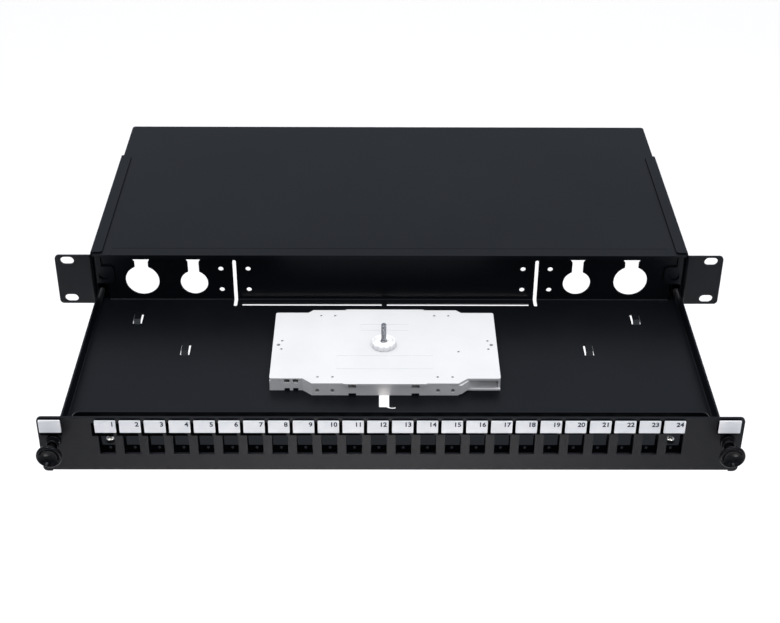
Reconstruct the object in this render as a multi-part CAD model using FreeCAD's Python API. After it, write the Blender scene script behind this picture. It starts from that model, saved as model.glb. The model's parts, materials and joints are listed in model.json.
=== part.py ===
import FreeCAD, Part
import math
import os

# Fibre termination box, one rack unit, with a sliding drawer (shown pulled out).
# Lengths in millimetres. X to the right, +Y to the rear, +Z up.
# Heights in this file are measured up from the underside of the cover;
# save() moves every shape down by SLOT_CENTRE_Z, so that the frame's origin is
# the centre of the rack-ear slot pattern on the front of the ears.

V = FreeCAD.Vector
os.makedirs("parts", exist_ok=True)

# ---- 19 inch rack ----
EAR_SPAN = 482.6
SLOT_PITCH_X = 465.1
SLOT_PITCH_Z = 31.75
SLOT_CENTRE_Z = 21.8
SLOT_LENGTH = 9.8
SLOT_WIDTH = 6.4
FACE_BOTTOM = 1.4
FACE_TOP = 42.0
EAR_CORNER_R = 3.0
EAR_BEND_R = 2.5

# ---- chassis ----
BRACKET_SHEET = 1.5
COVER_SHEET = 1.2
COVER_TOP = 42.4
BRACKET_OUT = 215.8
BRACKET_DEPTH = 155.0
CHASSIS_DEPTH = 210.0
FLANGE_WIDTH = 8.3
FLANGE_START = 2.6
COVER_LIP_HALF = 201.0
COVER_LIP_BOTTOM = 38.8
HEM_DEPTH = 10.0
HEM_STEP = 0.1
SIDE_LIP_WIDTH = 8.0
TAB_FRONT = 1.6
TAB_INNER = 200.1
TAB_BOTTOM = 17.5
TAB_TOP = 31.8
TAB_HOLE_R = 3.85
CORNER_PIECE_WIDTH = 5.2
RAIL_WIDTH = 5.5
RAIL_HEIGHT = 2.8
RIVET_Y = (28.0, 82.0, 136.0)
RIVET_Z = 24.0

# ---- drawer ----
TRAVEL = 190.0
PANEL_HALF = 216.8
PANEL_SHEET = 1.5
PANEL_CORNER_R = 3.0
PANEL_FOOT = (6.0, 1.0)
CLOSED_GAP = 0.3
TRAY_HALF = 212.7
TRAY_SHEET = 1.2
TRAY_BOTTOM = 1.6
TRAY_SIDE_TOP = 12.2
TRAY_BEND_R = 0.9
ARM_FOOT = 4.5
FRONT_FLANGE_TOP = 12.0
REAR_WALL_Y = 3.3
REAR_WALL_HALF = 205.3
REAR_WALL_TOP = 40.4
REAR_WING_HALF = 211.6
REAR_WING_BOTTOM = 16.6
GUIDE_ARM = 11.5
INNER_SHIFT = -2.8

# ---- cable entries, tie holes and slits ----
BIG_ENTRY_X = 178.15
BIG_ENTRY_SHIFT = -2.0
BIG_ENTRY_R = 12.25
BIG_ENTRY_Z = 19.1
BIG_NECK = 9.8
SMALL_ENTRY_X = 139.7
SMALL_ENTRY_R = 10.0
SMALL_ENTRY_Z = 17.2
SMALL_NECK = 8.0
NECK_FLARE = 1.3
NECK_FLARE_Z = (34.4, 36.4)
CLUSTER_X = 109.9
CLUSTER_DX = 9.9
CLUSTER_Z = (11.2, 28.8)
CLUSTER_R = 1.9
WALL_SLOT_WIDTH = 2.6
WALL_SLOT_TOP = 35.0
SLIT_FRONT = -5.1
SLIT_DEPTH = 3.2
SLIT_BRIDGE = (-5.7, -1.9)
WALL_SLOT_FLOOR = -4.4
LANCES = ((179.3, -22.6), (140.9, -61.9))
LANCE_WIDTH = 4.8
LANCE_LENGTH = 15.0
LANCE_RISE = 2.4

# ---- ports ----
PORT_COUNT = 24
PORT_PITCH = 15.24
OPENING_WIDTH = 9.8
OPENING_BOTTOM = 13.8
OPENING_TOP = 29.4
ADAPTER_SETBACK = 7.0
ADAPTER_SHEET = 1.2
ADAPTER_HALF = 197.3
ADAPTER_TOP = 39.8
ADAPTER_CORNER_R = 6.0
ADAPTER_FOOT = 24.0
CUTOUT_WIDTH = 10.0
CUTOUT_BOTTOM = 14.4
CUTOUT_TOP = 27.6
FIXING_HOLE_R = 1.0
FIXING_HOLE_OFFSET = 2.1
FOOT_SCREW_X = 178.9
FOOT_SCREW_Y = -165.3

# ---- labels ----
LABEL_PITCH = 15.15
LABEL_SHIFT = -0.6
LABEL_SIZE = (13.0, 8.9)
END_LABEL_SIZE = (13.4, 9.2)
LABEL_THICK = 0.8
LABEL_BOTTOM = 31.6
LABEL_CORNER_R = 0.4
CARRIER_SIZE = (13.0, 9.1)
CARRIER_THICK = 0.8
CARRIER_SHIFT = -2.2
CARRIER_DROP = (3.2, 1.2)
END_LABEL_X = 208.1
END_LABEL_SHIFT = -0.6
END_CARRIER_DROP = (2.6, 1.4)

# ---- push-pull plungers ----
PLUNGER_X = 207.8
PLUNGER_Z = 24.0
PIN_LENGTH_OUT = 9.0
GUIDE_R = 2.95
STEM_R = 2.9
PIN_R = 2.0
PIN_BORE_R = 2.4

# ---- splice cassette ----
CAS_X = -3.5
CAS_HALF = 77.4
CAS_WING = (-109.9, -29.8)
CAS_MID = (-115.5, -26.4)
CAS_FRONT_STEP = (48.9, 55.3)
CAS_REAR_STEP = (51.0, 54.4)
CAS_BOTTOM = 2.8
CAS_SPLIT = 11.0
CAS_TOP = 12.6
CAS_GAP = 0.2
CAS_WALL = 1.4
LID_TONGUE_HALF = 27.8
LID_TONGUE = (0.7, 1.0)
LID_HOLE_R = 0.9
WING_RECESS = 8.5
STUD_X = -4.3
STUD_Y = -70.8
STUD_R = 1.75
STUD_TOP = 30.6
THREAD_PITCH = 0.6
FACE_HOLES = (-45.3, -35.3, 35.3, 45.3)
FACE_NOTCHES = (-21.9, 20.3)
WING_NOTCHES = (-65.7, -59.9)
NUT_R = 8.3
NUT_HEIGHT = 4.0
NUT_BORE_R = 2.1
NUT_FLUTES = 12

# ---- derived ----
PANEL_BACK = -(TRAVEL + CLOSED_GAP)
PANEL_FRONT = PANEL_BACK - PANEL_SHEET
BRACKET_IN = BRACKET_OUT - BRACKET_SHEET
COVER_OUT = BRACKET_IN - 0.1
COVER_IN = COVER_OUT - COVER_SHEET
FLANGE_TOP = COVER_TOP + 1.2
COVER_UNDER = COVER_TOP - COVER_SHEET
TRAY_FLOOR = TRAY_BOTTOM + TRAY_SHEET
TRAY_REAR = REAR_WALL_Y + TRAY_SHEET
ADAPTER_FRONT = PANEL_BACK + ADAPTER_SETBACK
ADAPTER_BACK = ADAPTER_FRONT + ADAPTER_SHEET
FOOT_TOP = TRAY_FLOOR + ADAPTER_SHEET
MIDDLE_PORT = (PORT_COUNT - 1) / 2
PORT_X = [(i - MIDDLE_PORT) * PORT_PITCH for i in range(PORT_COUNT)]
LABEL_X = [(i - MIDDLE_PORT) * LABEL_PITCH + LABEL_SHIFT for i in range(PORT_COUNT)]


def save(name, shape):
    shape = shape.copy()
    shape.translate(V(0, 0, -SLOT_CENTRE_Z))
    shape.exportStep("parts/%s.step" % name)


def block(x0, x1, y0, y1, z0, z1):
    xa, xb = sorted((x0, x1))
    ya, yb = sorted((y0, y1))
    za, zb = sorted((z0, z1))
    return Part.makeBox(xb - xa, yb - ya, zb - za, V(xa, ya, za))


def rod_y(x, z, r, y0, y1):
    return Part.makeCylinder(r, y1 - y0, V(x, y0, z), V(0, 1, 0))


def rod_z(x, y, r, z0, z1):
    return Part.makeCylinder(r, z1 - z0, V(x, y, z0), V(0, 0, 1))


def rod_x(y, z, r, x0, x1):
    xa, xb = sorted((x0, x1))
    return Part.makeCylinder(r, xb - xa, V(xa, y, z), V(1, 0, 0))


def mirror_x(shape):
    return shape.mirror(V(0, 0, 0), V(1, 0, 0))


def round_edges(shape, radius, along, keep):
    """Round the straight edges that run along one axis and pass the test."""
    chosen = []
    for edge in shape.Edges:
        if len(edge.Vertexes) != 2:
            continue
        a = edge.Vertexes[0].Point
        b = edge.Vertexes[1].Point
        d = b - a
        if d.Length < 1e-6 or abs(abs(d.dot(along)) - d.Length) > 1e-6:
            continue
        if keep((a + b) * 0.5, d.Length):
            chosen.append(edge)
    return shape.makeFillet(radius, chosen) if chosen else shape


def outline_z(points, z0, z1):
    wire = Part.makePolygon([V(x, y, z0) for x, y in points + points[:1]])
    return Part.Face(wire).extrude(V(0, 0, z1 - z0))


def outline_y(points, y0, y1):
    wire = Part.makePolygon([V(x, y0, z) for x, z in points + points[:1]])
    return Part.Face(wire).extrude(V(0, y1 - y0, 0))


def slot_hole_y(x, z, length, width, y0, y1):
    """A slot through a sheet, running along X."""
    r = width / 2
    half = length / 2 - r
    body = block(x - half, x + half, y0, y1, z - r, z + r)
    return body.fuse([rod_y(x - half, z, r, y0, y1), rod_y(x + half, z, r, y0, y1)])


def turned_y(x, z, points):
    """A body turned about a line along Y from (radius, y) points."""
    wire = Part.makePolygon([V(x + r, y, z) for r, y in points + points[:1]])
    return Part.Face(wire).revolve(V(x, 0, z), V(0, 1, 0), 360)


def union(shapes):
    shape = shapes[0].fuse(shapes[1:]) if len(shapes) > 1 else shapes[0]
    return shape.removeSplitter()


# ---------------------------------------------------------------- chassis
def top_cover():
    plate = block(-COVER_OUT, COVER_OUT, 0, CHASSIS_DEPTH, COVER_UNDER, COVER_TOP)
    plate = round_edges(plate, 2.5, V(0, 0, 1), lambda p, n: p.y > 100)
    lip = block(-COVER_LIP_HALF, COVER_LIP_HALF, 0, COVER_SHEET, COVER_LIP_BOTTOM, COVER_TOP)
    rear = block(-200, 200, CHASSIS_DEPTH - COVER_SHEET, CHASSIS_DEPTH, 36.5, COVER_TOP)
    shapes = [plate, lip, rear]
    for side in (-1, 1):
        shapes.append(side_wall(side))
        shapes.append(block(side * (COVER_IN - SIDE_LIP_WIDTH), side * COVER_IN,
                            3.0, CHASSIS_DEPTH - 3.0, 0, COVER_SHEET))
    cover = union(shapes)
    cover = cover.cut(block(-COVER_LIP_HALF, COVER_LIP_HALF, -1, HEM_DEPTH,
                            COVER_TOP - HEM_STEP, COVER_TOP + 1))
    for side in (-1, 1):
        for y in RIVET_Y:
            cover = cover.cut(rod_x(y, RIVET_Z, 1.6, side * 205, side * 220))
    return cover


def side_wall(side):
    """Side of the cover, folded in at the front into a corner piece and a catch tab."""
    y1 = TAB_FRONT + COVER_SHEET
    wall = block(side * COVER_IN, side * COVER_OUT, TAB_FRONT, CHASSIS_DEPTH - 2.5, 0, COVER_TOP)
    corner = block(side * (COVER_OUT - CORNER_PIECE_WIDTH), side * COVER_OUT, TAB_FRONT, y1,
                   TAB_TOP - 1, COVER_TOP)
    tab = block(side * TAB_INNER, side * COVER_OUT, TAB_FRONT, y1, TAB_BOTTOM, TAB_TOP)
    tab = round_edges(tab, 3.0, V(0, 1, 0), lambda p, n: abs(p.x) < TAB_INNER + 1)
    tab = tab.cut(rod_y(side * PLUNGER_X, PLUNGER_Z, TAB_HOLE_R, 0, y1 + 1))
    wall = union([wall, corner, tab])
    return round_edges(wall, 1.9, V(0, 0, 1),
                       lambda p, n: abs(p.y - TAB_FRONT) < 0.01 and abs(p.x) > COVER_OUT - 0.01)


def bracket():
    """The right-hand bracket: wall, ear and top flange, one sheet."""
    half_ear = EAR_SPAN / 2
    ear = block(BRACKET_IN, half_ear, 0, BRACKET_SHEET, FACE_BOTTOM, FACE_TOP)
    wall = block(BRACKET_IN, BRACKET_OUT, 0, BRACKET_DEPTH, FACE_BOTTOM, FACE_TOP)
    shape = union([ear, wall])
    shape = round_edges(shape, EAR_CORNER_R, V(0, 1, 0), lambda p, n: p.x > half_ear - 1)
    shape = round_edges(shape, EAR_BEND_R, V(0, 0, 1),
                        lambda p, n: abs(p.x - BRACKET_IN) < 0.01 and p.y < 0.01)
    shape = round_edges(shape, EAR_BEND_R - BRACKET_SHEET, V(0, 0, 1),
                        lambda p, n: abs(p.x - BRACKET_OUT) < 0.01 and p.y < 2)
    shape = round_edges(shape, 4.0, V(1, 0, 0), lambda p, n: p.y > 100 and p.z < 10)
    top = block(BRACKET_IN, BRACKET_OUT, FLANGE_START, BRACKET_DEPTH, FACE_TOP - 5, FLANGE_TOP)
    flange = block(BRACKET_OUT - FLANGE_WIDTH, BRACKET_OUT, FLANGE_START, BRACKET_DEPTH,
                   COVER_TOP, FLANGE_TOP)
    flange = round_edges(flange, 2.5, V(0, 0, 1), lambda p, n: p.x < BRACKET_OUT - 5)
    shape = union([shape, top, flange])
    for side in (-1, 1):
        z = SLOT_CENTRE_Z + side * SLOT_PITCH_Z / 2
        shape = shape.cut(slot_hole_y(SLOT_PITCH_X / 2, z, SLOT_LENGTH, SLOT_WIDTH, -1, 3))
    for y in RIVET_Y:
        shape = shape.cut(rod_x(y, RIVET_Z, 1.6, 205, 220))
    # bend radius where the wall turns into the top flange
    return round_edges(shape, 1.0, V(0, 1, 0),
                       lambda p, n: abs(p.x - BRACKET_OUT) < 0.01
                       and abs(p.z - FLANGE_TOP) < 0.01 and n > 100)


def guide_rail():
    """Angle rail that guides the side of the drawer from above."""
    x_in = COVER_IN - RAIL_WIDTH
    y0 = TAB_FRONT + COVER_SHEET + 0.4
    y1 = CHASSIS_DEPTH - 4.0
    z0 = TRAY_SIDE_TOP + 0.4
    leg = block(x_in, COVER_IN, y0, y1, z0, z0 + 1.2)
    web = block(COVER_IN - 1.2, COVER_IN, y0, y1, z0, z0 + RAIL_HEIGHT)
    leg = round_edges(leg, 1.5, V(0, 0, 1), lambda p, n: p.x < x_in + 1)
    return union([leg, web])


def bracket_rivets():
    rivets = []
    for side in (-1, 1):
        for y in RIVET_Y:
            shank = rod_x(y, RIVET_Z, 1.55, side * (COVER_IN - 0.4), side * (BRACKET_OUT + 0.3))
            head = rod_x(y, RIVET_Z, 3.0, side * BRACKET_OUT, side * (BRACKET_OUT + 0.8))
            tail = rod_x(y, RIVET_Z, 2.4, side * COVER_IN, side * (COVER_IN - 0.7))
            rivets.append(union([shank, head, tail]))
    return Part.makeCompound(rivets)


# ---------------------------------------------------------------- drawer
def keyhole(x, z, r, neck):
    y0 = REAR_WALL_Y - 2
    y1 = TRAY_REAR + 2
    top = REAR_WALL_TOP + 1
    half = neck / 2
    slot = block(x - half, x + half, y0, y1, z, top)
    z0, z1 = NECK_FLARE_Z
    wide = half + NECK_FLARE
    flare = outline_y([(x - half, z0), (x - wide, z1), (x - wide, top), (x + wide, top),
                       (x + wide, z1), (x + half, z0)], y0, y1)
    return union([slot, rod_y(x, z, r, y0, y1), flare])


def lance(x, y):
    """A strip pressed up out of the floor to take a cable tie."""
    a = y - LANCE_LENGTH / 2
    b = y + LANCE_LENGTH / 2
    top = TRAY_FLOOR + LANCE_RISE
    pts = [(a, TRAY_BOTTOM), (a, TRAY_FLOOR), (a + 3.2, top), (b - 3.2, top), (b, TRAY_FLOOR),
           (b, TRAY_BOTTOM), (b - 1.0, TRAY_BOTTOM), (b - 3.8, top - TRAY_SHEET),
           (a + 3.8, top - TRAY_SHEET), (a + 1.0, TRAY_BOTTOM)]
    x0 = x - LANCE_WIDTH / 2
    wire = Part.makePolygon([V(x0, p, q) for p, q in pts + pts[:1]])
    return Part.Face(wire).extrude(V(LANCE_WIDTH, 0, 0))


def hook_toe():
    """Curved toe of the hook-shaped hole in the floor."""
    ring = rod_z(1.4, -124.2, 6.0, 0, 4).cut(rod_z(1.4, -124.2, 3.6, -1, 5))
    return ring.common(block(-3.4, 3.4, -133.0, -126.6, 0, 4))


def drawer_tray():
    y0 = PANEL_BACK
    y_arm = TRAY_REAR + GUIDE_ARM
    shapes = [block(-TRAY_HALF, TRAY_HALF, y0, TRAY_REAR, TRAY_BOTTOM, TRAY_FLOOR)]
    shapes.append(block(-REAR_WALL_HALF, REAR_WALL_HALF, REAR_WALL_Y, TRAY_REAR,
                        TRAY_BOTTOM, REAR_WALL_TOP))
    shapes.append(block(-REAR_WING_HALF, REAR_WING_HALF, REAR_WALL_Y, TRAY_REAR,
                        REAR_WING_BOTTOM, REAR_WALL_TOP))
    shapes.append(block(-211.0, 211.0, y0, y0 + TRAY_SHEET, TRAY_BOTTOM, FRONT_FLANGE_TOP))
    for side in (-1, 1):
        outer = side * TRAY_HALF
        shapes.append(block(outer, outer - side * TRAY_SHEET, y0, y_arm,
                            TRAY_BOTTOM, TRAY_SIDE_TOP))
        shapes.append(block(outer, outer - side * ARM_FOOT, TRAY_REAR, y_arm,
                            TRAY_BOTTOM, TRAY_FLOOR))
    tray = union(shapes)
    tray = round_edges(tray, 4.0, V(0, 1, 0),
                       lambda p, n: abs(abs(p.x) - REAR_WING_HALF) < 0.1 and p.z > 39)
    # bends between the floor and the rear and side walls
    tray = round_edges(tray, TRAY_BEND_R, V(1, 0, 0),
                       lambda p, n: abs(p.y - REAR_WALL_Y) < 0.01 and abs(p.z - TRAY_FLOOR) < 0.01)
    tray = round_edges(tray, TRAY_BEND_R, V(0, 1, 0),
                       lambda p, n: abs(abs(p.x) - TRAY_HALF + TRAY_SHEET) < 0.01
                       and abs(p.z - TRAY_FLOOR) < 0.01 and n > 100)
    cuts = []
    for side in (-1, 1):
        cuts.append(keyhole(side * BIG_ENTRY_X + BIG_ENTRY_SHIFT, BIG_ENTRY_Z, BIG_ENTRY_R,
                            BIG_NECK))
        cuts.append(keyhole(side * SMALL_ENTRY_X + INNER_SHIFT, SMALL_ENTRY_Z, SMALL_ENTRY_R,
                            SMALL_NECK))
        xc = side * CLUSTER_X + INNER_SHIFT
        for dx in (-CLUSTER_DX, CLUSTER_DX):
            for z in CLUSTER_Z:
                cuts.append(rod_y(xc + dx, z, CLUSTER_R, REAR_WALL_Y - 1, TRAY_REAR + 1))
        r = WALL_SLOT_WIDTH / 2
        cuts.append(block(xc - r, xc + r, WALL_SLOT_FLOOR, TRAY_REAR + 1, 0, WALL_SLOT_TOP))
        cuts.append(rod_y(xc, WALL_SLOT_TOP, r, REAR_WALL_Y - 1, TRAY_REAR + 1))
        cuts.append(rod_z(xc, WALL_SLOT_FLOOR, r, 0, TRAY_FLOOR + 1))
    inner = CLUSTER_X - 5.0
    slit_back = SLIT_FRONT + SLIT_DEPTH
    cuts.append(block(-inner + INNER_SHIFT, SLIT_BRIDGE[0], SLIT_FRONT, slit_back, 0, 4))
    cuts.append(block(SLIT_BRIDGE[1], inner + INNER_SHIFT, SLIT_FRONT, slit_back, 0, 4))
    bridges = []
    for side in (-1, 1):
        for x, y in LANCES:
            xc = side * x + INNER_SHIFT + 1.0
            cuts.append(block(xc - LANCE_WIDTH / 2 - 0.9, xc + LANCE_WIDTH / 2 + 0.9,
                              y - LANCE_LENGTH / 2 + 0.9, y + LANCE_LENGTH / 2 - 0.9, 0, 4))
            bridges.append(lance(xc, y))
    # hook-shaped hole in the floor in front of the cassette
    cuts.append(block(-7.5, -0.8, -128.6, -112.0, 0, 4))
    cuts.append(hook_toe())
    for side in (-1, 1):
        cuts.append(rod_z(side * FOOT_SCREW_X, FOOT_SCREW_Y, 1.6, 0, 5))
    return union([tray.cut(cuts)] + bridges)


def front_panel():
    panel = block(-PANEL_HALF, PANEL_HALF, PANEL_FRONT, PANEL_BACK, FACE_BOTTOM, FACE_TOP)
    width, drop = PANEL_FOOT
    feet = [block(side * (PANEL_HALF - width), side * PANEL_HALF, PANEL_FRONT, PANEL_BACK,
                  FACE_BOTTOM - drop, FACE_BOTTOM + 4) for side in (-1, 1)]
    panel = union([panel] + feet)
    panel = round_edges(panel, PANEL_CORNER_R, V(0, 1, 0), lambda p, n: abs(p.x) > PANEL_HALF - 0.1)
    panel = round_edges(panel, drop * 0.9, V(0, 1, 0),
                        lambda p, n: abs(p.z - (FACE_BOTTOM - drop)) < 0.01)
    cuts = []
    half = OPENING_WIDTH / 2
    for x in PORT_X:
        cuts.append(block(x - half, x + half, PANEL_FRONT - 1, PANEL_BACK + 1,
                          OPENING_BOTTOM, OPENING_TOP))
    for side in (-1, 1):
        cuts.append(rod_y(side * PLUNGER_X, PLUNGER_Z, 3.5, PANEL_FRONT - 1, PANEL_BACK + 1))
    return panel.cut(cuts)


def adapter_plate():
    plate = block(-ADAPTER_HALF, ADAPTER_HALF, ADAPTER_FRONT, ADAPTER_BACK, TRAY_FLOOR, ADAPTER_TOP)
    plate = round_edges(plate, ADAPTER_CORNER_R, V(0, 1, 0), lambda p, n: p.z > 30)
    foot = block(-ADAPTER_HALF, ADAPTER_HALF, ADAPTER_FRONT, ADAPTER_FRONT + ADAPTER_FOOT,
                 TRAY_FLOOR, FOOT_TOP)
    foot = round_edges(foot, 3.0, V(0, 0, 1), lambda p, n: p.y > ADAPTER_BACK + 5)
    cuts = []
    half = CUTOUT_WIDTH / 2
    for x in PORT_X:
        cuts.append(block(x - half, x + half, ADAPTER_FRONT - 1, ADAPTER_BACK + 1,
                          CUTOUT_BOTTOM, CUTOUT_TOP))
        for z in (CUTOUT_BOTTOM - FIXING_HOLE_OFFSET, CUTOUT_TOP + FIXING_HOLE_OFFSET):
            cuts.append(rod_y(x, z, FIXING_HOLE_R, ADAPTER_FRONT - 1, ADAPTER_BACK + 1))
    for side in (-1, 1):
        cuts.append(rod_z(side * FOOT_SCREW_X, FOOT_SCREW_Y, 1.6, 0, 5))
    return union([plate, foot]).cut(cuts)


def foot_screws():
    screws = []
    for side in (-1, 1):
        x = side * FOOT_SCREW_X
        head = rod_z(x, FOOT_SCREW_Y, 2.9, FOOT_TOP, FOOT_TOP + 2.4)
        head = head.makeFillet(1.2, [e for e in head.Edges
                                     if e.BoundBox.ZMin > FOOT_TOP + 2.0])
        shank = rod_z(x, FOOT_SCREW_Y, 1.5, TRAY_BOTTOM, FOOT_TOP + 1)
        recess = block(x - 1.6, x + 1.6, FOOT_SCREW_Y - 0.3, FOOT_SCREW_Y + 0.3,
                       FOOT_TOP + 1.4, FOOT_TOP + 3)
        recess = recess.fuse(block(x - 0.3, x + 0.3, FOOT_SCREW_Y - 1.6, FOOT_SCREW_Y + 1.6,
                                   FOOT_TOP + 1.4, FOOT_TOP + 3))
        screws.append(union([head, shank]).cut(recess))
    return Part.makeCompound(screws)


def label_pair(x, drop, shift, size):
    """A black carrier glued to the panel and the white label plate in front of it."""
    cw, ch = CARRIER_SIZE
    lw, lh = size
    y1 = PANEL_FRONT
    y2 = y1 - CARRIER_THICK
    y3 = y2 - LABEL_THICK
    z0 = LABEL_BOTTOM - drop
    xc = x + shift
    carrier = block(xc - cw / 2, xc + cw / 2, y2, y1, z0, z0 + ch)
    label = block(x - lw / 2, x + lw / 2, y3, y2, LABEL_BOTTOM, LABEL_BOTTOM + lh)
    label = round_edges(label, LABEL_CORNER_R, V(0, 1, 0), lambda p, n: True)
    return carrier, label


# ---------------------------------------------------------------- plungers
def grommet():
    """Split grommet that holds the plunger in the front panel."""
    x = PLUNGER_X
    f = PANEL_FRONT
    pts = [(GUIDE_R, f + 1.5), (GUIDE_R, f - 5.2), (3.4, f - 5.2), (3.9, f - 4.6), (4.0, f - 3.5),
           (3.8, f - 2.3), (3.6, f - 1.9), (4.3, f - 1.8), (4.7, f - 1.2), (4.7, f),
           (3.4, f), (3.4, f + 7.0), (3.1, f + 8.5), (PIN_BORE_R, f + 8.5), (PIN_BORE_R, f + 1.5)]
    body = turned_y(x, PLUNGER_Z, pts)
    slot = block(x - 0.4, x + 0.4, f + 3.2, f + 9, PLUNGER_Z - 5, PLUNGER_Z + 5)
    cross = block(x - 5, x + 5, f + 3.2, f + 9, PLUNGER_Z - 0.4, PLUNGER_Z + 0.4)
    return body.cut([slot, cross])


def plunger():
    """Push-pull plunger, drawn in its pulled-out position."""
    x = PLUNGER_X
    f = PANEL_FRONT
    pts = [(0, f + 3.6), (1.4, f + 3.6), (PIN_R, f + 2.6), (PIN_R, f - PIN_LENGTH_OUT),
           (STEM_R, f - PIN_LENGTH_OUT), (STEM_R, f - 11.2), (3.3, f - 11.8), (4.6, f - 12.6),
           (6.6, f - 13.4), (7.6, f - 14.0), (7.95, f - 14.8), (7.95, f - 15.8), (7.6, f - 16.4),
           (6.9, f - 16.7), (6.1, f - 16.3), (4.6, f - 15.2), (2.4, f - 14.5), (0, f - 14.3)]
    return turned_y(x, PLUNGER_Z, pts)


# ---------------------------------------------------------------- cassette
def cassette_outline(inset, z0, z1):
    w = CAS_HALF - inset
    y0 = CAS_WING[0] + inset
    y1 = CAS_WING[1] - inset
    m0 = CAS_MID[0] + inset
    m1 = CAS_MID[1] - inset
    fa, fb = CAS_FRONT_STEP
    ra, rb = CAS_REAR_STEP
    right = [(fa, m0), (fb - inset * 0.4, y0), (w, y0), (w, y1), (rb - inset * 0.4, y1), (ra, m1)]
    left = [(-x, y) for x, y in reversed(right)]
    return outline_z([(CAS_X + x, y) for x, y in right + left], z0, z1)


def stud():
    """Threaded stud with a flanged base, standing on the drawer floor."""
    z = TRAY_FLOOR
    pts = [(0, z), (4.2, z), (4.2, z + 0.8), (STUD_R, z + 0.8)]
    h = z + 2.0
    while h + THREAD_PITCH < STUD_TOP - 0.6:
        pts.append((STUD_R, h))
        pts.append((STUD_R, h + THREAD_PITCH * 0.2))
        pts.append((STUD_R - 0.28, h + THREAD_PITCH * 0.6))
        h += THREAD_PITCH
    pts += [(STUD_R, h), (STUD_R, STUD_TOP - 0.5), (STUD_R - 0.5, STUD_TOP), (0, STUD_TOP)]
    wire = Part.makePolygon([V(r, 0, q) for r, q in pts + pts[:1]])
    body = Part.Face(wire).revolve(V(0, 0, 0), V(0, 0, 1), 360)
    body.translate(V(STUD_X, STUD_Y, 0))
    return body


def cassette_base():
    outer = cassette_outline(0, CAS_BOTTOM, CAS_SPLIT - CAS_GAP)
    inner = cassette_outline(CAS_WALL, CAS_BOTTOM + 1.2, CAS_SPLIT + 1)
    base = outer.cut(inner)
    wing = CAS_WING[0]
    # the right wing is open at the front, down to its floor
    base = base.cut(block(CAS_X + CAS_FRONT_STEP[0] + 2.0, CAS_X + CAS_HALF + 1, CAS_MID[0] - 1,
                          wing + CAS_WALL + 0.1, CAS_BOTTOM + 1.2, CAS_SPLIT + 1))
    floor = CAS_BOTTOM + 1.0
    shapes = [base]
    # set-back wall of the open wing, with its slanting end
    x0 = CAS_X + CAS_FRONT_STEP[0] - 0.5
    x1 = CAS_X + CAS_HALF - 0.6
    yb = wing + WING_RECESS
    slant = outline_z([(x0, CAS_MID[0]), (x0 + 2.6, CAS_MID[0]), (x0 + 16.0, yb), (x1, yb),
                       (x1, yb + CAS_WALL), (x0 + 15.2, yb + CAS_WALL), (x0, CAS_MID[0] + 2.2)],
                      floor, CAS_SPLIT - CAS_GAP)
    shapes.append(slant)
    # boss round the stud, two fibre drums and two splice combs, moulded in
    shapes.append(rod_z(STUD_X, STUD_Y, 6.0, CAS_BOTTOM, CAS_SPLIT - CAS_GAP))
    for side in (-1, 1):
        drum = rod_z(CAS_X + side * 46, STUD_Y, 18.0, CAS_BOTTOM, CAS_SPLIT - 1.2)
        shapes.append(drum.cut(rod_z(CAS_X + side * 46, STUD_Y, 16.6, 0, 20)))
        for i in range(7):
            x = CAS_X + side * 12 + side * i * 2.2
            shapes.append(block(x - 0.5, x + 0.5, -107, -93, CAS_BOTTOM, CAS_SPLIT - 1.6))
    base = union(shapes)
    cuts = [rod_z(STUD_X, STUD_Y, 4.6, 0, CAS_BOTTOM + 1.2), rod_z(STUD_X, STUD_Y, 2.4, 0, 20)]
    front = CAS_MID[0]
    for x in FACE_HOLES:
        cuts.append(rod_y(CAS_X + x, 6.6, 1.35, front - 1, front + 3))
    for x in FACE_NOTCHES:
        cuts.append(block(CAS_X + x - 2.6, CAS_X + x + 2.6, front - 1, front + 4, 8.4, 13))
        cuts.append(block(CAS_X + x - 2.6, CAS_X + x + 2.6, front - 1, front + 4, 2, 4.4))
    for x in WING_NOTCHES:
        cuts.append(block(CAS_X + x - 1.8, CAS_X + x + 1.8, wing - 1, wing + 4, 2, 4.6))
        cuts.append(block(CAS_X + x - 1.8, CAS_X + x + 1.8, wing - 1, wing + 4, 8.8, 13))
    # latch window in the set-back wall
    cuts.append(block(CAS_X + 64.0, CAS_X + 69.0, yb - 1, yb + 4, 6.4, 9.8))
    # fibre entries at the rear of both wings
    rear = CAS_WING[1]
    for side in (-1, 1):
        cuts.append(block(CAS_X + side * 60, CAS_X + side * 72, rear - 2.5, rear + 1.5,
                          CAS_BOTTOM + 1.2, 13))
    return base.cut(cuts)


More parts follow.
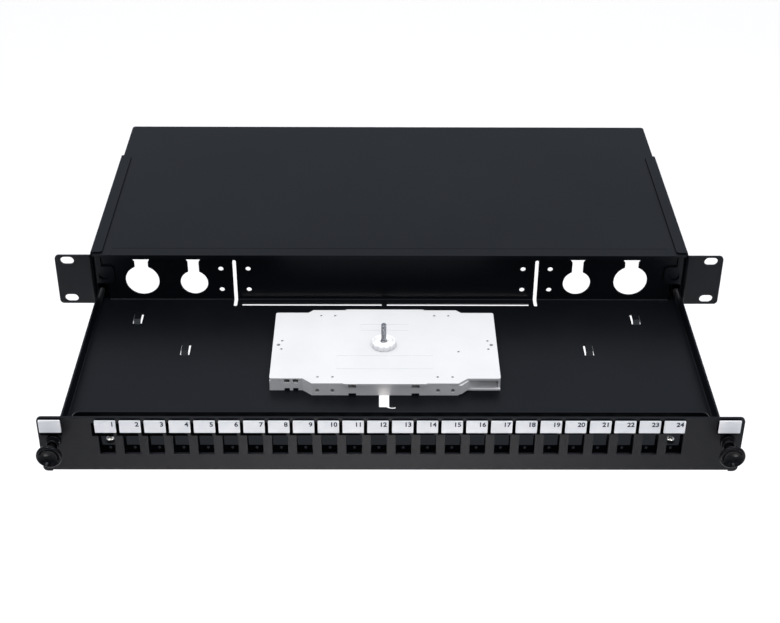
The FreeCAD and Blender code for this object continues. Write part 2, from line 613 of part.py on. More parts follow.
def cassette_lid():
    lid = cassette_outline(0, CAS_SPLIT, CAS_TOP)
    lid = round_edges(lid, 1.6, V(0, 0, 1), lambda p, n: abs(abs(p.x - CAS_X) - CAS_HALF) < 0.1)
    lid = union([lid, block(CAS_X - LID_TONGUE_HALF, CAS_X + LID_TONGUE_HALF,
                            CAS_MID[0] - LID_TONGUE[0], CAS_MID[1] + LID_TONGUE[1],
                            CAS_SPLIT, CAS_TOP)])
    # shallow moulded frames on the top face
    depth = CAS_TOP - 0.12
    front = CAS_MID[0] + 16.8
    rear = CAS_MID[1] - 18.5
    frames = [(-33.0, 0.0, front, front + 15.4), (0.0, 32.6, front, front + 15.4),
              (-17.0, 16.6, rear - 7.3, rear)]
    for x0, x1, y0, y1 in frames:
        a = block(CAS_X + x0 - 0.15, CAS_X + x1 + 0.15, y0 - 0.15, y1 + 0.15, depth, 20)
        b = block(CAS_X + x0 + 0.15, CAS_X + x1 - 0.15, y0 + 0.15, y1 - 0.15, 0, 21)
        lid = lid.cut(a.cut(b))
    cuts = [rod_z(STUD_X, STUD_Y, 3.2, 0, 20)]
    for x, y in lid_holes():
        cuts.append(rod_z(CAS_X + x, y, LID_HOLE_R, 0, 20))
    for side in (-1, 1):
        cuts.append(rod_z(CAS_X + side * 73.5, STUD_Y + 0.6, LID_HOLE_R + 0.4, 0, 20))
    for x in FACE_NOTCHES:
        cuts.append(block(CAS_X + x - 2.6, CAS_X + x + 2.6, CAS_MID[0] - 1, CAS_MID[0] + 0.8,
                          9, CAS_TOP - 0.9))
    for x in WING_NOTCHES:
        cuts.append(block(CAS_X + x - 1.8, CAS_X + x + 1.8, CAS_WING[0] - 1, CAS_WING[0] + 0.9,
                          9, CAS_TOP - 0.7))
    return lid.cut(cuts)


def lid_holes():
    """Pin holes near the corners of the long sides and near each short side."""
    holes = [(50.5, STUD_Y - 7.5)]
    for side in (-1, 1):
        for x in (35.2, 45.2):
            holes.append((side * x, CAS_MID[1] - 7.1))
            holes.append((side * x, CAS_MID[0] + 7.4))
        for dx, dy in ((0, 5.0), (0, -5.0)):
            holes.append((side * 71.2 + dx, STUD_Y + 0.6 + dy))
    return holes


def cassette_nut():
    body = rod_z(STUD_X, STUD_Y, NUT_R, CAS_TOP, CAS_TOP + NUT_HEIGHT)
    body = body.makeChamfer(0.5, [e for e in body.Edges if e.BoundBox.ZMin > CAS_TOP + 3])
    cuts = [rod_z(STUD_X, STUD_Y, NUT_BORE_R, 0, 40)]
    for i in range(NUT_FLUTES):
        a = 2 * math.pi * i / NUT_FLUTES
        cuts.append(rod_z(STUD_X + (NUT_R + 0.5) * math.cos(a), STUD_Y + (NUT_R + 0.5) * math.sin(a),
                          1.1, 0, 40))
    # dished top with three ribs round the hub
    ring = rod_z(STUD_X, STUD_Y, NUT_R - 1.6, CAS_TOP + NUT_HEIGHT - 1.2, 40)
    ring = ring.cut(rod_z(STUD_X, STUD_Y, 3.4, 0, 41))
    for i in range(3):
        rib = block(3.0, 8.0, -0.7, 0.7, 0, 41)
        rib.rotate(V(0, 0, 0), V(0, 0, 1), 90 + 120 * i)
        rib.translate(V(STUD_X, STUD_Y, 0))
        ring = ring.cut(rib)
    cuts.append(ring)
    return body.cut(cuts)


# ---------------------------------------------------------------- build
save("top_cover", top_cover())
right = bracket()
save("right_bracket", right)
save("left_bracket", mirror_x(right))
rail = guide_rail()
save("right_guide_rail", rail)
save("left_guide_rail", mirror_x(rail))
save("bracket_rivets", bracket_rivets())

save("drawer_tray", drawer_tray())
save("front_panel", front_panel())
save("adapter_plate", adapter_plate())
save("foot_screws", foot_screws())

# the row of carriers sits a little lower towards the left end
slope = (CARRIER_DROP[1] - CARRIER_DROP[0]) / (PORT_COUNT - 1)
pairs = [label_pair(x, CARRIER_DROP[0] + i * slope, CARRIER_SHIFT, LABEL_SIZE)
         for i, x in enumerate(LABEL_X)]
save("label_carriers", Part.makeCompound([c for c, _ in pairs]))
save("label_plates", Part.makeCompound([t for _, t in pairs]))
ends = [label_pair(side * END_LABEL_X + END_LABEL_SHIFT, drop, -0.4 * (side + 1), END_LABEL_SIZE)
        for side, drop in zip((-1, 1), END_CARRIER_DROP)]
save("end_label_carriers", Part.makeCompound([c for c, _ in ends]))
save("end_label_plates", Part.makeCompound([t for _, t in ends]))

ring_r = grommet()
save("right_grommet", ring_r)
save("left_grommet", mirror_x(ring_r))
knob = plunger()
save("right_plunger", knob)
save("left_plunger", mirror_x(knob))

save("cassette_stud", stud())
save("cassette_base", cassette_base())
save("cassette_lid", cassette_lid())
save("cassette_nut", cassette_nut())
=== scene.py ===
import json
import math

import bmesh
import bpy
from mathutils import Matrix, Vector


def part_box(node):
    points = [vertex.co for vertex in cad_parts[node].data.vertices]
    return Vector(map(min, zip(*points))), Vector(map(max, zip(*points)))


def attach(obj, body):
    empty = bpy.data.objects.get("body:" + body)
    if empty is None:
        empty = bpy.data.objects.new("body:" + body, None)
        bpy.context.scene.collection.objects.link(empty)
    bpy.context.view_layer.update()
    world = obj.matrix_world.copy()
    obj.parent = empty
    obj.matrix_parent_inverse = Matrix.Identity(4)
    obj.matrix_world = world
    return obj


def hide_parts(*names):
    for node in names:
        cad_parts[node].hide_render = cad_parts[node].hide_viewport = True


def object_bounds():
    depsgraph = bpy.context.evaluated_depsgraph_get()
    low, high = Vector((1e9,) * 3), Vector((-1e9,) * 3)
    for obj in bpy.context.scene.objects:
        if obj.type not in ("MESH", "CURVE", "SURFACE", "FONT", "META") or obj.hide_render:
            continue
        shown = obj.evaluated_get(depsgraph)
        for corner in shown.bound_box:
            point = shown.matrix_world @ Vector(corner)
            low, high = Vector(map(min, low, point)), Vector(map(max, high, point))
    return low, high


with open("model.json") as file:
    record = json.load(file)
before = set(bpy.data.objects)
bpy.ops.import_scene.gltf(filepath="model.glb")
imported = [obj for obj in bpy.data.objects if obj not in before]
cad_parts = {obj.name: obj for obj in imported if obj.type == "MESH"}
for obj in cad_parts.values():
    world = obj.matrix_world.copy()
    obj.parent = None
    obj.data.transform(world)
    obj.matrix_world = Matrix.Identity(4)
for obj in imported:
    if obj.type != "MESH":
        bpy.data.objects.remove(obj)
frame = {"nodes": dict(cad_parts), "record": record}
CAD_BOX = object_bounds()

MM = 0.001
TURN = 2 * math.pi
nodes = frame["nodes"]
scene = bpy.context.scene


def span(node):
    lo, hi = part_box(node)
    return Vector(lo), Vector(hi)


def centre(node):
    lo, hi = span(node)
    return (lo + hi) / 2


# ------------------------------------------------------------------ materials
NOISE_RANGE = (0.3, 0.7)        # where most of a noise texture's values lie
MIX_FLOATS = (2, 3)             # the two float inputs of a Mix node
MIX_COLOURS = (6, 7)            # its two colour inputs
MIX_COLOUR_OUT = 2
FINE_BUMP = 0.00002             # metres
GRAIN_BUMP = 0.00003
PEEL_BUMP = 0.00005
COOL_SHEEN = (0.84, 0.91, 1.0, 1.0)
NYLON_SHEEN = (0.85, 0.92, 1.0, 1.0)


def set_stops(color_ramp, stops):
    while len(color_ramp.elements) < len(stops):
        color_ramp.elements.new(0.5)
    for element, (pos, colour) in zip(color_ramp.elements, stops):
        element.position = pos
        element.color = (*colour, 1.0)


class Shader:
    """A short way to write a material's node tree."""

    def __init__(self, name):
        self.mat = bpy.data.materials.new(name)
        self.mat.use_nodes = True
        self.tree = self.mat.node_tree
        self.bsdf = self.tree.nodes["Principled BSDF"]

    def add(self, kind):
        return self.tree.nodes.new(kind)

    def link(self, a, b):
        self.tree.links.new(a, b)

    def coords(self):
        return self.add("ShaderNodeTexCoord").outputs["Object"]

    def noise(self, vector, scale, detail, roughness):
        n = self.add("ShaderNodeTexNoise")
        n.inputs["Scale"].default_value = scale
        n.inputs["Detail"].default_value = detail
        n.inputs["Roughness"].default_value = roughness
        self.link(vector, n.inputs["Vector"])
        return n.outputs["Fac"]

    def ramp(self, fac, stops):
        r = self.add("ShaderNodeValToRGB")
        set_stops(r.color_ramp, stops)
        self.link(fac, r.inputs["Fac"])
        return r.outputs["Color"]

    def grey(self, fac, low, high):
        """Spreads a noise over the values low to high."""
        m = self.add("ShaderNodeMapRange")
        m.inputs["From Min"].default_value = NOISE_RANGE[0]
        m.inputs["From Max"].default_value = NOISE_RANGE[1]
        m.inputs["To Min"].default_value = low
        m.inputs["To Max"].default_value = high
        self.link(fac, m.inputs["Value"])
        return m.outputs["Result"]

    def bump(self, height, distance, strength, normal=None):
        n = self.add("ShaderNodeBump")
        n.inputs["Distance"].default_value = distance
        n.inputs["Strength"].default_value = strength
        self.link(height, n.inputs["Height"])
        if normal is not None:
            self.link(normal, n.inputs["Normal"])
        return n.outputs["Normal"]

    def set(self, **values):
        for key, value in values.items():
            self.bsdf.inputs[key.replace("_", " ")].default_value = value

    def feed(self, name, output):
        self.link(output, self.bsdf.inputs[name])


def powder_coat(name, dark, light, spec=0.12, rough=(0.33, 0.44)):
    """Fine-textured black powder coat: small grain, faint cloudiness."""
    m = Shader(name)
    c = m.coords()
    cloud = m.noise(c, 9.0, 3.0, 0.55)
    grain = m.noise(c, 1500.0, 3.0, 0.6)
    peel = m.noise(c, 420.0, 2.0, 0.5)
    mix = m.add("ShaderNodeMix")
    mix.data_type = "FLOAT"
    mix.inputs["Factor"].default_value = 0.45
    for socket, texture in zip(MIX_FLOATS, (cloud, grain)):
        m.link(texture, mix.inputs[socket])
    m.feed("Base Color", m.ramp(mix.outputs[0], [(0.34, dark), (0.66, light)]))
    m.feed("Roughness", m.grey(grain, *rough))
    n = m.bump(peel, PEEL_BUMP, 0.3)
    m.feed("Normal", m.bump(grain, GRAIN_BUMP, 0.4, n))
    m.set(Specular_IOR_Level=spec, Specular_Tint=COOL_SHEEN, Metallic=0.0)
    return m.mat


def gloss_black(name, rough, spec):
    """Glossy moulded nylon with a faint flow mottle."""
    m = Shader(name)
    c = m.coords()
    flow = m.noise(c, 260.0, 2.0, 0.5)
    m.feed("Base Color", m.ramp(flow, [(0.35, (0.0020, 0.0021, 0.0024)),
                                       (0.7, (0.0050, 0.0050, 0.0056))]))
    m.feed("Roughness", m.grey(flow, rough, rough + 0.08))
    m.feed("Normal", m.bump(flow, FINE_BUMP, 0.25))
    m.set(Specular_IOR_Level=spec, Specular_Tint=NYLON_SHEEN)
    return m.mat


def white_plastic(name, dark, light, rough, grain, spec=0.35):
    """Moulded or printed plastic: slow cloudiness of colour, a fine grain."""
    m = Shader(name)
    c = m.coords()
    cloud = m.noise(c, 30.0, 2.0, 0.5)
    fine = m.noise(c, grain, 2.0, 0.6)
    m.feed("Base Color", m.ramp(cloud, [(0.3, dark), (0.7, light)]))
    m.feed("Roughness", m.grey(fine, rough - 0.06, rough + 0.08))
    m.feed("Normal", m.bump(fine, FINE_BUMP, 0.3))
    m.set(Specular_IOR_Level=spec)
    return m.mat


def plated(name, tint, rough):
    """Bright plated steel with a fine mottle."""
    m = Shader(name)
    c = m.coords()
    fine = m.noise(c, 900.0, 3.0, 0.6)
    m.feed("Base Color", m.ramp(fine, [(0.3, [v * 0.86 for v in tint]), (0.7, tint)]))
    m.feed("Roughness", m.grey(fine, rough, rough + 0.14))
    m.feed("Normal", m.bump(fine, FINE_BUMP, 0.3))
    m.set(Metallic=1.0)
    return m.mat


MAT = {
    "black_powder": powder_coat("powder_coat_black",
                                (0.0014, 0.0018, 0.0026), (0.0034, 0.0040, 0.0052)),
    "black_rivet": powder_coat("rivet_black",
                               (0.0030, 0.0032, 0.0038), (0.0060, 0.0064, 0.0072), 0.3),
    # painted shade: a near-black with almost no reflection, standing in for the labels' shadow on
    # the panel (on the label carriers) and for the deep shade on the guide rails
    "black_matt": powder_coat("painted_shade_black",
                              (0.0002, 0.0002, 0.0003), (0.0005, 0.0005, 0.0007),
                              0.005, (0.7, 0.85)),
    "bright_screw": plated("screw_nickel", (0.44, 0.43, 0.41), 0.10),
    "black_gloss": gloss_black("nylon_black", 0.06, 0.09),
    "white_label": white_plastic("label_white",
                                 (0.49, 0.515, 0.54), (0.525, 0.545, 0.57), 0.36, 500.0),
    "zinc_stud": plated("stud_zinc", (0.26, 0.265, 0.28), 0.06),
    "white_plastic": white_plastic("cassette_white",
                                   (0.555, 0.555, 0.56), (0.585, 0.585, 0.588), 0.45, 650.0),
    "white_nut": white_plastic("nut_white",
                               (0.76, 0.76, 0.765), (0.80, 0.80, 0.80), 0.3, 500.0),
}
INK = white_plastic("ink_grey",
                    (0.014, 0.018, 0.032), (0.026, 0.031, 0.052), 0.5, 900.0, spec=0.1)
SLOT_OF = {s["node"]: s["material_slot"] for s in frame["record"]["subparts"]}


def paint(obj, slot_name, mat=None):
    obj.data.materials.clear()
    obj.data.materials.append(mat or MAT[slot_name])


# ------------------------------------------------------------------ mesh tools
FLAT_ANGLE = 0.6                # degrees; facets closer than this are one face
EDGE_ANGLE = 35.0               # degrees; sharper edges than this are rounded
EDGE_SEGMENTS = 2
LATHE_AROUND = 72
ON_AXIS = 1e-7                  # mm; a smaller radius is one vertex


def soften(obj, width):
    """Merges the flat facets of a CAD solid and rounds its edges slightly."""
    flat = obj.modifiers.new("flat", "DECIMATE")
    flat.decimate_type = "DISSOLVE"
    flat.angle_limit = math.radians(FLAT_ANGLE)
    bev = obj.modifiers.new("edge", "BEVEL")
    bev.width = width
    bev.segments = EDGE_SEGMENTS
    bev.limit_method = "ANGLE"
    bev.angle_limit = math.radians(EDGE_ANGLE)
    bev.use_clamp_overlap = True
    bev.harden_normals = False
    bev.miter_outer = "MITER_ARC"


def shade(obj, angle):
    mesh = obj.data
    mesh.shade_smooth()
    mesh.set_sharp_from_angle(angle=math.radians(angle))


def new_object(name, bm, slot_name, body, mat=None, angle=32.0):
    mesh = bpy.data.meshes.new(name)
    bmesh.ops.recalc_face_normals(bm, faces=bm.faces)
    bm.to_mesh(mesh)
    bm.free()
    obj = bpy.data.objects.new(name, mesh)
    scene.collection.objects.link(obj)
    shade(obj, angle)
    paint(obj, slot_name, mat)
    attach(obj, body)
    return obj


def smooth_profile(points, steps=5):
    """Catmull-Rom through (radius, along) points; a repeated point keeps a corner."""
    out = []
    n = len(points)
    for i in range(n - 1):
        p0 = points[max(i - 1, 0)]
        p1, p2 = points[i], points[i + 1]
        p3 = points[min(i + 2, n - 1)]
        if p1 == p2:
            continue
        if i > 0 and points[i - 1] == p1:
            p0 = p1
        if i + 2 < n and points[i + 2] == p2:
            p3 = p2
        for k in range(steps):
            t = k / steps
            radius, along = [
                0.5 * (2 * p1[c] + (p2[c] - p0[c]) * t
                       + (2 * p0[c] - 5 * p1[c] + 4 * p2[c] - p3[c]) * t * t
                       + (3 * p1[c] - p0[c] - 3 * p2[c] + p3[c]) * t ** 3)
                for c in range(2)]
            out.append((max(radius, 0.0), along))
    out.append(points[-1])
    return out


def bridge(bm, rings):
    """Skins each pair of neighbouring rings; a ring of one vertex is a closed end."""
    for lower, upper in zip(rings, rings[1:]):
        around = max(len(lower), len(upper))
        for i in range(around):
            j = (i + 1) % around
            if len(lower) == 1:
                bm.faces.new((lower[0], upper[i], upper[j]))
            elif len(upper) == 1:
                bm.faces.new((lower[i], lower[j], upper[0]))
            else:
                bm.faces.new((lower[i], lower[j], upper[j], upper[i]))


def lathe(profile, place):
    """Turns (radius, along) points about a line; place maps (x, y, along) to the frame."""
    bm = bmesh.new()
    rings = []
    for r, a in profile:
        around = 1 if r < ON_AXIS else LATHE_AROUND
        angles = [TURN * i / around for i in range(around)]
        rings.append([bm.verts.new(place(r * math.cos(t), r * math.sin(t), a))
                      for t in angles])
    bridge(bm, rings)
    return bm


# ------------------------------------------------------------------ CAD nodes that stay
NODE_SHARP = 30.0               # degrees
# how far each node's edges are rounded, in mm
EDGE = {
    "top_cover": 0.35, "left_bracket": 0.35, "right_bracket": 0.35, "left_guide_rail": 0.25,
    "right_guide_rail": 0.25, "bracket_rivets": 0.3, "drawer_tray": 0.28, "front_panel": 0.3,
    "adapter_plate": 0.22, "label_carriers": 0.15, "end_label_carriers": 0.15,
    "label_plates": 0.18, "end_label_plates": 0.18, "cassette_base": 0.2, "cassette_lid": 0.3,
}
# three nodes don't look like their slot: the rails take a painted shade, a near-black matt, since
# they lie in deep shade; the end plates are brighter
OWN_LOOK = {
    "left_guide_rail": MAT["black_matt"],
    "right_guide_rail": MAT["black_matt"],
    "end_label_plates": white_plastic("end_label_white",
                                      (0.64, 0.65, 0.67), (0.68, 0.69, 0.71), 0.36, 500.0),
}
for name, node in nodes.items():
    paint(node, SLOT_OF[name], OWN_LOOK.get(name))
    shade(node, NODE_SHARP)
    if name in EDGE:
        soften(node, EDGE[name] * MM)

# ------------------------------------------------------------------ catches
panel_lo, panel_hi = span("front_panel")
face = panel_lo.y


def along_y(x, z):
    """Maps to an axis that runs out of the panel's face at (x, z)."""
    return lambda u, v, a: Vector((x + u * MM, face - a * MM, z + v * MM))


# (radius, distance in front of the panel) in mm
PLUNGER = [
    (0.0, -3.6), (1.3, -3.5), (1.95, -2.6), (2.0, -2.4), (2.0, -2.4), (2.0, 9.0), (2.0, 9.0),
    (2.7, 9.0), (2.88, 9.2), (2.9, 9.6), (2.9, 11.0), (3.0, 11.4), (3.4, 11.9), (4.4, 12.5),
    (5.7, 13.05), (6.8, 13.5), (7.55, 14.0), (7.9, 14.7), (7.93, 15.3), (7.85, 15.9),
    (7.55, 16.4), (7.1, 16.68), (6.7, 16.62), (6.3, 16.35), (5.7, 15.75), (4.8, 14.95),
    (3.4, 14.2), (1.7, 13.8), (0.0, 13.7),
]
GROMMET = [
    (2.98, -1.5), (2.98, -1.5), (2.98, 4.8), (3.1, 5.1), (3.4, 5.18), (3.75, 4.9), (3.95, 4.3),
    (3.98, 3.6), (3.9, 2.8), (3.7, 2.2), (3.62, 1.95), (3.75, 1.83), (4.2, 1.8), (4.55, 1.5),
    (4.68, 1.0), (4.68, 0.4), (4.6, 0.02), (4.6, 0.02), (3.42, 0.02), (3.42, 0.02), (3.4, -6.6),
    (3.4, -6.6), (3.1, -8.4), (3.1, -8.4), (2.45, -8.5), (2.45, -8.5), (2.45, -1.5), (2.45, -1.5),
    (2.98, -1.5),
]
for side in ("left", "right"):
    c = centre(side + "_plunger")
    bm = lathe(smooth_profile(PLUNGER), along_y(c.x, c.z))
    knob = new_object(side + "_plunger_knob", bm, "black_gloss", side + "_catch", angle=50)
    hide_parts(side + "_plunger")
    ring = lathe(smooth_profile(GROMMET, 4), along_y(c.x, c.z))
    gate = new_object(side + "_grommet_ring", ring, "black_gloss", "drawer", angle=50)
    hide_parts(side + "_grommet")

# ------------------------------------------------------------------ stud with a real helix
stud_lo, stud_hi = span("cassette_stud")
sx, sy = (stud_lo.x + stud_hi.x) / 2, (stud_lo.y + stud_hi.y) / 2

STUD_AROUND = 32
PITCH, CREST, DEPTH = 0.6, 1.73, 0.36   # mm
ROWS_PER_PITCH = 8
GROOVE_HALF = 0.42              # half width of the groove, as a share of the pitch
FLANGE = 0.8                    # mm, height of the foot
THREAD_FROM, THREAD_GROWS = 1.4, 1.0    # mm above the foot's underside; then to full depth
TIP, TIP_SLOPE = 0.7, 0.9       # mm of tapered tip, and how fast it narrows


def about_stud(r, t, z):
    """Maps a radius, an angle and a height in mm to the frame."""
    return sx + r * MM * math.cos(t), sy + r * MM * math.sin(t), z * MM


def thread_radius(z, share, z0, z1):
    """The thread's radius at a height and a share of the full turn."""
    phase = (z / PITCH - share) % 1.0
    cut = DEPTH * max(0.0, 1.0 - abs(phase - 0.5) / GROOVE_HALF)
    fade = min(1.0, max(0.0, (z - z0 - THREAD_FROM) / THREAD_GROWS))
    return min(CREST - cut * fade, CREST - max(0.0, z - (z1 - TIP)) * TIP_SLOPE)


def threaded_stud():
    bm = bmesh.new()
    z0, z1 = stud_lo.z / MM, stud_hi.z / MM
    foot = [(4.1, z0), (4.18, z0 + 0.1), (4.18, z0 + 0.7), (4.1, z0 + FLANGE),
            (CREST, z0 + FLANGE)]
    angles = [TURN * i / STUD_AROUND for i in range(STUD_AROUND)]
    rings = [[bm.verts.new(about_stud(r, t, z)) for t in angles] for r, z in foot]
    z = z0 + FLANGE
    while z < z1 - 0.02:
        rings.append([bm.verts.new(about_stud(thread_radius(z, i / STUD_AROUND, z0, z1), t, z))
                      for i, t in enumerate(angles)])
        z += PITCH / ROWS_PER_PITCH
    bridge(bm, rings)
    bm.faces.new(rings[-1])
    bm.faces.new(list(reversed(rings[0])))
    return bm


stud = new_object("threaded_stud", threaded_stud(), "zinc_stud", "drawer", angle=40)
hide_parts("cassette_stud")

# ------------------------------------------------------------------ fluted nut
nut_lo, nut_hi = span("cassette_nut")

NUT_AROUND = 192
FLUTES, RIBS = 12, 3
RIM_FROM, RIM_GROWTH = 6.0, 0.5         # mm; radii beyond the first grow by the second
DISH_FROM, DISH_TO = 3.6, 6.2           # mm; the ribs cross these radii
RIB_TOP, RIB_FOOT = 0.7, 1.2            # mm, half widths of a rib
RIB_DROP = 0.35                 # mm, from the nut's top to the rib's


def rib_lift(t, r):
    """0 beside the ribs that join hub and rim, 1 on their tops."""
    lift = 0.0
    for k in range(RIBS):
        off = (t - math.pi / 2 - k * TURN / RIBS + math.pi) % TURN - math.pi
        across = abs(off) * r
        if across < RIB_TOP:
            lift = 1.0
        elif across < RIB_FOOT:
            lift = (RIB_FOOT - across) / (RIB_FOOT - RIB_TOP)
    return lift


def fluted_nut():
    bm = bmesh.new()
    z0, z1 = nut_lo.z / MM, nut_hi.z / MM
    # radius, height, flute depth
    rows = [(2.12, z0, 0), (7.1, z0, 0.3), (7.55, z0 + 0.15, 0.5), (7.73, z0 + 0.5, 0.6),
            (7.76, z0 + 1.2, 0.62), (7.73, z1 - 1.0, 0.62), (7.6, z1 - 0.45, 0.5),
            (7.3, z1 - 0.12, 0.35), (6.9, z1, 0.12), (6.6, z1 - 0.02, 0.03), (6.3, z1 - 0.2, 0),
            (6.1, z1 - 0.6, 0), (5.9, z1 - 1.1, 0), (5.4, z1 - 1.25, 0), (4.0, z1 - 1.25, 0),
            (3.7, z1 - 1.1, 0), (3.5, z1 - 0.5, 0), (3.3, z1 - 0.15, 0), (3.0, z1 - 0.05, 0),
            (2.6, z1 - 0.1, 0), (2.25, z1 - 0.3, 0), (2.12, z1 - 0.7, 0)]
    rings = []
    for r, z, flute in rows:
        ring = []
        for i in range(NUT_AROUND):
            t = TURN * i / NUT_AROUND
            wave = max(0.0, math.cos(FLUTES * t)) ** 2
            radius = (r + RIM_GROWTH if r > RIM_FROM else r) - flute * wave
            height = z
            if DISH_FROM < r < DISH_TO:
                height = z + (z1 - RIB_DROP - z) * rib_lift(t, r)
            ring.append(bm.verts.new(about_stud(radius, t, height)))
        rings.append(ring)
    bridge(bm, rings + rings[:1])
    return bm


nut = new_object("fluted_nut", fluted_nut(), "white_nut", "lid_nut", angle=45)
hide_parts("cassette_nut")


# ------------------------------------------------------------------ foot screws
SCREW_AROUND = 72
HEAD_RADIUS, HEAD_HEIGHT = 2.9, 2.4     # mm
DOME_FROM, DOME_RISE = 1.5, 0.9         # mm above the seat; height of the dome
DOME_EDGE, DOME_STEP, DOME_ROWS = 2.7, 0.09, 30
DOME_RADIUS = 2.75
CROSS_TURN = 0.55               # radians
CROSS_ARM, CROSS_HALF, CROSS_DEPTH = 2.0, 0.55, 1.3     # mm
CROSS_END, CROSS_WALL = 0.35, 0.12      # mm over which the recess deepens


def cross_dip(rad, t):
    """How deep the cross recess is at a radius and an angle of the head."""
    u, v = rad * math.cos(t - CROSS_TURN), rad * math.sin(t - CROSS_TURN)
    arm, half = max(abs(u), abs(v)), min(abs(u), abs(v))
    if arm >= CROSS_ARM or half >= CROSS_HALF:
        return 0.0
    return (CROSS_DEPTH * min(1.0, (CROSS_ARM - arm) / CROSS_END)
            * min(1.0, (CROSS_HALF - half) / CROSS_WALL))


def pan_screws():
    """Pan heads with a cross recess, on a shank through the sheet."""
    lo, hi = span("foot_screws")
    bm = bmesh.new()
    y = (lo.y + hi.y) / 2
    top, bottom = hi.z / MM, lo.z / MM
    seat = top - HEAD_HEIGHT
    dome = [DOME_EDGE - DOME_STEP * i for i in range(DOME_ROWS)]
    rows = [(0.0, bottom), (1.5, bottom), (1.5, seat), (2.6, seat), (2.84, seat + 0.1),
            (2.88, seat + 0.4), (2.88, seat + 0.9), (2.8, seat + 1.25)]
    rows += [(rad, seat + DOME_FROM + DOME_RISE * math.sqrt(1 - (rad / DOME_RADIUS) ** 2))
             for rad in dome]
    rows.append((0.0, top))
    for x in (lo.x + HEAD_RADIUS * MM, hi.x - HEAD_RADIUS * MM):
        rings = []
        for rad, z in rows:
            around = SCREW_AROUND if rad > 0 else 1
            ring = []
            for t in [TURN * i / around for i in range(around)]:
                dip = cross_dip(rad, t) if z > seat + DOME_FROM else 0.0
                ring.append(bm.verts.new((x + rad * MM * math.cos(t),
                                          y + rad * MM * math.sin(t), (z - dip) * MM)))
            rings.append(ring)
        bridge(bm, rings)
    return bm


screws = new_object("pan_head_screws", pan_screws(), "bright_screw", "drawer", angle=35)
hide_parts("foot_screws")

# ------------------------------------------------------------------ numbers on the labels
plates_lo, plates_hi = span("label_plates")
COUNT = 24
PLATE_WIDTH = 13.0 * MM
TEXT_SIZE = 4.6 * MM
TEXT_RIGHT = 5.5 * MM           # right edge of the digits, from the plate's centre
TEXT_DOWN = 2.6 * MM            # middle of the digits, from the plate's top
TEXT_PROUD = 0.00003            # metres in front of the plate
TEXT_THICK = 0.00004
TEXT_BOLD = 0.00014
plate_pitch = ((plates_hi.x - plates_lo.x) - PLATE_WIDTH) / (COUNT - 1)


def text_mesh(text, size):
    curve = bpy.data.curves.new("tmp_text", "FONT")
    curve.body = text
    curve.size = size
    curve.align_x = "RIGHT"
    curve.align_y = "CENTER"
    curve.extrude = TEXT_THICK
    curve.offset = TEXT_BOLD
    curve.resolution_u = 4
    obj = bpy.data.objects.new("tmp_text", curve)
    scene.collection.objects.link(obj)
    bpy.context.view_layer.update()
    depsgraph = bpy.context.evaluated_depsgraph_get()
    mesh = bpy.data.meshes.new_from_object(obj.evaluated_get(depsgraph))
    bpy.data.objects.remove(obj)
    return mesh


bm = bmesh.new()
for i in range(COUNT):
    x = plates_lo.x + PLATE_WIDTH / 2 + i * plate_pitch
    mesh = text_mesh(str(i + 1), TEXT_SIZE)
    spot = Vector((x + TEXT_RIGHT, plates_lo.y - TEXT_PROUD, plates_hi.z - TEXT_DOWN))
    mesh.transform(Matrix.Translation(spot) @ Matrix.Rotation(math.pi / 2, 4, "X"))
    bm.from_mesh(mesh)
    bpy.data.meshes.remove(mesh)
numbers = new_object("label_numbers", bm, "white_label", "drawer", mat=INK)

# ------------------------------------------------------------------ studio
FLOOR_REACH = 40.0              # metres
FLOOR_DROP = 0.80               # metres below the part

floor_mesh = bpy.data.meshes.new("floor")
fb = bmesh.new()
bmesh.ops.create_grid(fb, x_segments=2, y_segments=2, size=FLOOR_REACH)
fb.to_mesh(floor_mesh)
fb.free()
floor = bpy.data.objects.new("floor", floor_mesh)
floor.location = (0, 0, CAD_BOX[0][2] - FLOOR_DROP)
scene.collection.objects.link(floor)
fm = Shader("floor_pale")
fm.feed("Base Color", fm.ramp(fm.noise(fm.coords(), 2.0, 2.0, 0.5),
                              [(0.0, (0.985, 0.965, 0.945)), (1.0, (0.995, 0.975, 0.955))]))
fm.set(Roughness=0.9, Specular_IOR_Level=0.1)
floor_mesh.materials.append(fm.mat)

world = bpy.data.worlds.new("studio")
scene.world = world
world.use_nodes = True
wt = world.node_tree
sky = wt.nodes.new("ShaderNodeTexCoord").outputs["Generated"]

# height in the sky and its colour: cool near the horizon, bright overhead
SKY = [(0.0, (0.36, 0.40, 0.48)), (0.34, (0.38, 0.42, 0.51)), (0.62, (0.96, 1.02, 1.14)),
       (0.78, (1.38, 1.39, 1.41)), (1.0, (1.55, 1.55, 1.56))]
# a dark card in the sky: its direction, its edges in degrees, its colour
CARD_AT = (0.0, -0.70, 0.71)
CARD_INNER, CARD_OUTER = 14.0, 30.0
CARD_COLOUR = (0.10, 0.10, 0.11)


def world_spot(direction, inner, outer):
    """1 near a direction of the sky, 0 away from it."""
    dot = wt.nodes.new("ShaderNodeVectorMath")
    dot.operation = "DOT_PRODUCT"
    dot.inputs[1].default_value = Vector(direction).normalized()
    wt.links.new(sky, dot.inputs[0])
    edge = wt.nodes.new("ShaderNodeMapRange")
    edge.interpolation_type = "SMOOTHSTEP"
    edge.inputs["From Min"].default_value = math.cos(math.radians(outer))
    edge.inputs["From Max"].default_value = math.cos(math.radians(inner))
    wt.links.new(dot.outputs["Value"], edge.inputs["Value"])
    return edge.outputs["Result"]


def world_mix(fac, a, colour):
    """The output a, and the colour in its place where fac is 1."""
    mix = wt.nodes.new("ShaderNodeMix")
    mix.data_type = "RGBA"
    wt.links.new(fac, mix.inputs["Factor"])
    wt.links.new(a, mix.inputs[MIX_COLOURS[0]])
    mix.inputs[MIX_COLOURS[1]].default_value = (*colour, 1.0)
    return mix.outputs[MIX_COLOUR_OUT]


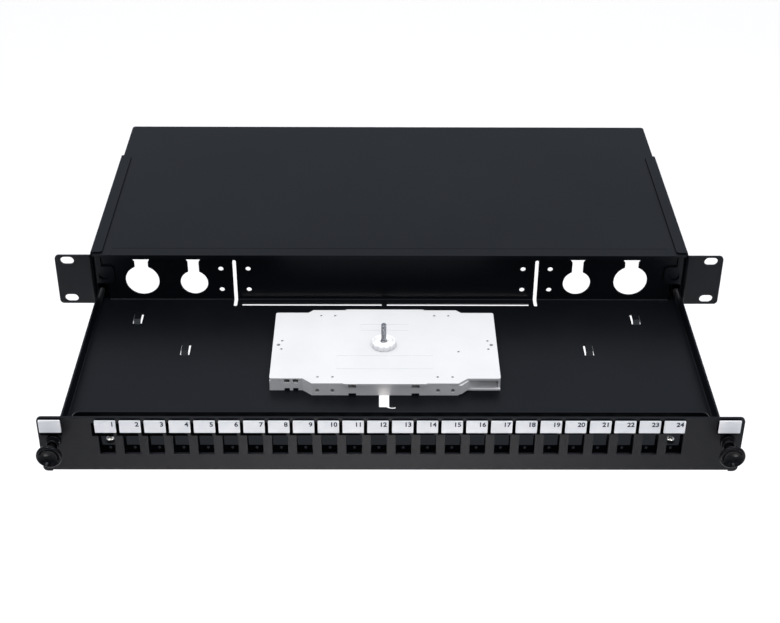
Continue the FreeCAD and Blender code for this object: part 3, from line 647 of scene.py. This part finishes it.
split = wt.nodes.new("ShaderNodeSeparateXYZ")
wt.links.new(sky, split.inputs[0])
rise = wt.nodes.new("ShaderNodeValToRGB")
set_stops(rise.color_ramp, SKY)
wt.links.new(split.outputs["Z"], rise.inputs["Fac"])
shaded = world_mix(world_spot(CARD_AT, CARD_INNER, CARD_OUTER), rise.outputs["Color"],
                   CARD_COLOUR)
wt.links.new(shaded, wt.nodes["Background"].inputs["Color"])
wt.nodes["Background"].inputs["Strength"].default_value = 1.0


def area(name, loc, target, size, power, colour=(1, 1, 1)):
    data = bpy.data.lights.new(name, "AREA")
    data.shape = "RECTANGLE"
    data.size, data.size_y = size
    data.energy = power
    data.color = colour
    obj = bpy.data.objects.new(name, data)
    obj.location = loc
    obj.rotation_euler = (Vector(target) - Vector(loc)).to_track_quat("-Z", "Y").to_euler()
    scene.collection.objects.link(obj)
    return obj


# name, place and target in metres, size in metres, power in watts
area("key_left", (-0.55, -0.25, 1.4), (-0.05, -0.1, 0), (0.30, 0.22), 8.5)
area("key_right", (0.60, -0.30, 1.4), (0.05, -0.1, 0), (0.30, 0.22), 5.5)
area("front_fill", (0.15, -1.25, 0.95), (0, -0.15, 0), (0.5, 0.3), 4.5)
# points down at the floor in front, which throws a warm light up on the panel
bounce = area("front_bounce", (0.0, -1.70, 0.1), (0.0, -1.36, -0.82), (0.2, 0.2), 14.5,
              (1.0, 0.91, 0.86))
bounce.data.spread = math.radians(58)

# ------------------------------------------------------------------ camera
SENSOR = 36.0                   # mm
FOCAL_PX, WIDTH_PX = 1457.5, 780.0      # the lens in pixels, for a picture this wide
CAMERA_AT = (-0.0077, -0.9009, 0.5606)  # metres
YAW, DIP, ROLL = 0.0091, 0.5783, -0.0065        # radians

cam_data = bpy.data.cameras.new("camera")
cam_data.sensor_fit = "HORIZONTAL"
cam_data.sensor_width = SENSOR
cam_data.lens = SENSOR * FOCAL_PX / WIDTH_PX
cam_data.clip_start = 0.05
cam_data.clip_end = 50.0
cam = bpy.data.objects.new("camera", cam_data)
scene.collection.objects.link(cam)
forward = Vector((math.sin(YAW) * math.cos(DIP), math.cos(YAW) * math.cos(DIP), -math.sin(DIP)))
right0 = Vector((math.cos(YAW), -math.sin(YAW), 0.0))
down0 = forward.cross(right0)
right = math.cos(ROLL) * right0 + math.sin(ROLL) * down0
down = -math.sin(ROLL) * right0 + math.cos(ROLL) * down0
rot = Matrix((right, -down, -forward)).transposed().to_4x4()
cam.matrix_world = Matrix.Translation(CAMERA_AT) @ rot
scene.camera = cam
scene.view_settings.view_transform = "Standard"
